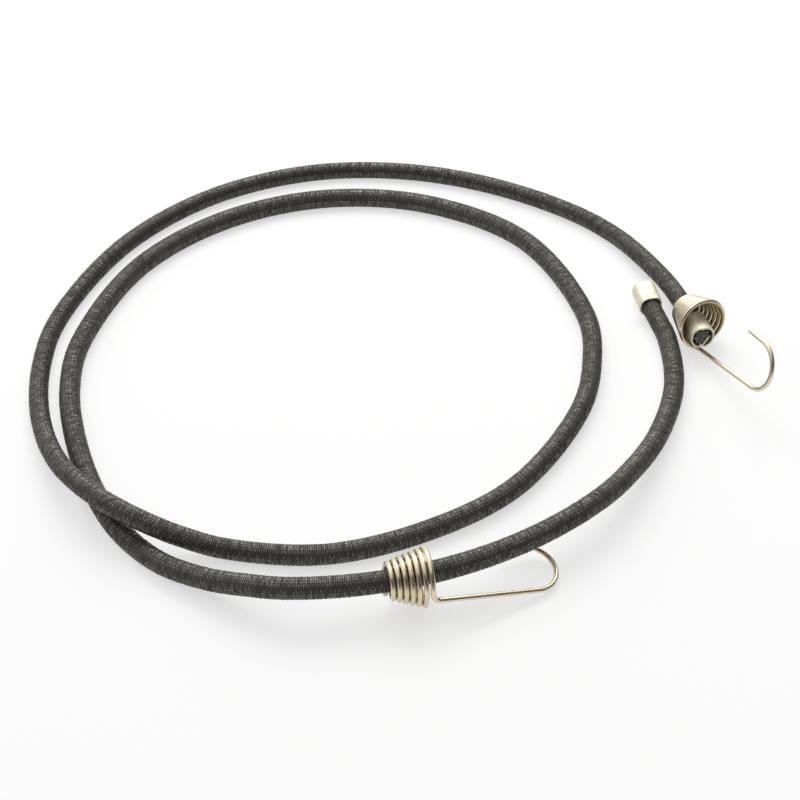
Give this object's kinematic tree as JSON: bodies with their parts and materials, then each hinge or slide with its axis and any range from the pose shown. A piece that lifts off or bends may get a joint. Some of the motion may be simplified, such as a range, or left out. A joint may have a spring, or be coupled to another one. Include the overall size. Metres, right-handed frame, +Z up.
{
  "type": "bungee cord",
  "caption": "Elastic cord with a braided textile cover over rubber threads, lying in loose loops, with crimped ferrules on its ends and sliding wire hooks with conical coils.",
  "frame": {"origin": "On the surface the cord lies on, under the middle of the object's bounding box.", "axes": "+X to the right as the picture shows it, +Y away from the viewer, +Z up off the surface."},
  "size_m": [0.2969, 0.2802, 0.0307],
  "materials": {
    "textile_cover": "black braided yarn, matt with a faint sheen",
    "rubber_thread": "cut rubber, matt",
    "ferrule_sheet": "plated sheet steel, smooth",
    "hook_wire": "plated spring wire, bright"
  },
  "bodies": {
    "cord": {"cord_cover": "textile_cover", "rubber_thread_1": "rubber_thread", "rubber_thread_2": "rubber_thread", "rubber_thread_3": "rubber_thread", "rubber_thread_4": "rubber_thread", "rubber_thread_5": "rubber_thread", "rubber_thread_6": "rubber_thread", "rubber_thread_7": "rubber_thread", "rubber_thread_8": "rubber_thread", "rubber_thread_9": "rubber_thread", "rubber_thread_10": "rubber_thread", "rubber_thread_11": "rubber_thread", "rubber_thread_12": "rubber_thread", "rubber_thread_13": "rubber_thread", "rubber_thread_14": "rubber_thread", "rubber_thread_15": "rubber_thread", "rubber_thread_16": "rubber_thread", "ferrule_a": "ferrule_sheet", "ferrule_b": "ferrule_sheet"},
    "hook_a": {"hook_a": "hook_wire"},
    "hook_b": {"hook_b": "hook_wire"}
  },
  "joints": [
    {"name": "hook_a_swivel", "type": "hinge", "parent": "cord", "child": "hook_a", "pos_m": [0.1288, 0.01073, 0.01115], "axis": [0.3472, -0.9189, 0.1874], "continuous": true},
    {"name": "hook_b_slide", "type": "hinge", "parent": "cord", "child": "hook_b", "pos_m": [-0.0354, 0.0301, 0.01207], "axis": [0, 0, 1], "range_deg": [-10, 15]}
  ]
}
